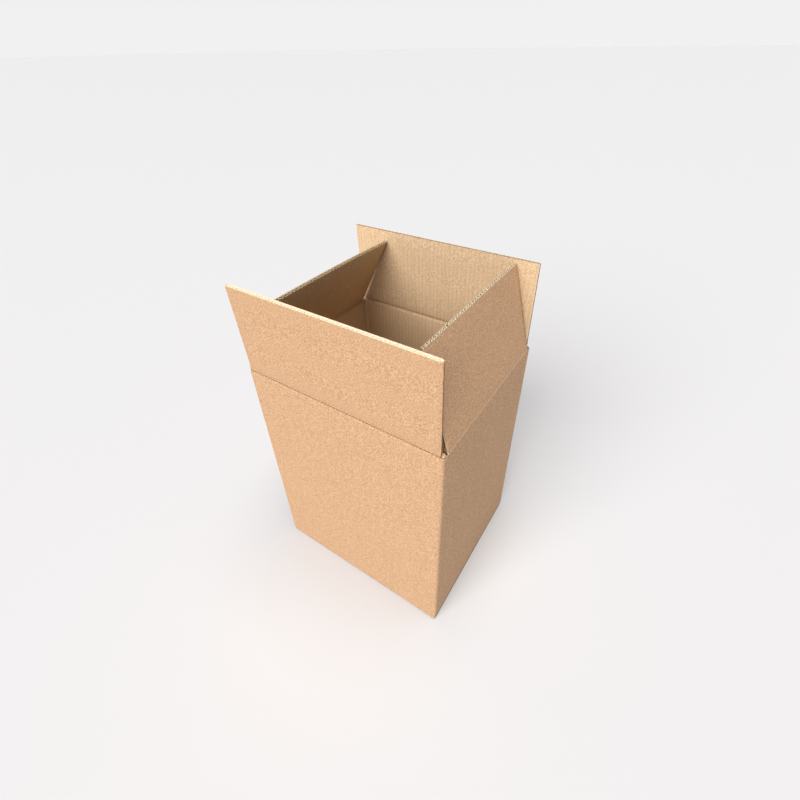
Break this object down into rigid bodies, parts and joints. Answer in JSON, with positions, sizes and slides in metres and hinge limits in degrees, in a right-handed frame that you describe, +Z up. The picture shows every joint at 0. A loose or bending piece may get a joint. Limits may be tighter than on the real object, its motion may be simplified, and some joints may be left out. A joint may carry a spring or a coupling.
{
  "type": "bottle shipping box",
  "caption": "Tall rectangular corrugated carton for shipping bottles, folded from double-wall kraft board, with a glued flat bottom and hinged top flaps that stand open.",
  "frame": {"origin": "middle of the base, on the plane that the box stands on", "axes": "+X to the right along the front wall, +Y from the front wall to the back wall, +Z up"},
  "size_m": [0.356, 0.3083, 0.5897],
  "materials": {
    "kraft_board": "matte",
    "kraft_flap": "matte"
  },
  "bodies": {
    "carton": {"carton_body": "kraft_board"},
    "front": {"front_flap": "kraft_flap"},
    "back": {"back_flap": "kraft_flap"},
    "left": {"left_flap": "kraft_flap"},
    "right": {"right_flap": "kraft_flap"}
  },
  "joints": [
    {"name": "front_crease", "type": "hinge", "parent": "carton", "child": "front", "pos_m": [0, -0.1515, 0.438], "axis": [1, 0, 0], "range_deg": [-4, 173]},
    {"name": "back_crease", "type": "hinge", "parent": "carton", "child": "back", "pos_m": [0, 0.1515, 0.438], "axis": [-1, 0, 0], "range_deg": [0, 177]},
    {"name": "left_crease", "type": "hinge", "parent": "carton", "child": "left", "pos_m": [-0.178, 0, 0.438], "axis": [0, -1, 0], "range_deg": [-63, 202]},
    {"name": "right_crease", "type": "hinge", "parent": "carton", "child": "right", "pos_m": [0.178, 0, 0.438], "axis": [0, 1, 0], "range_deg": [-75, 190]}
  ]
}
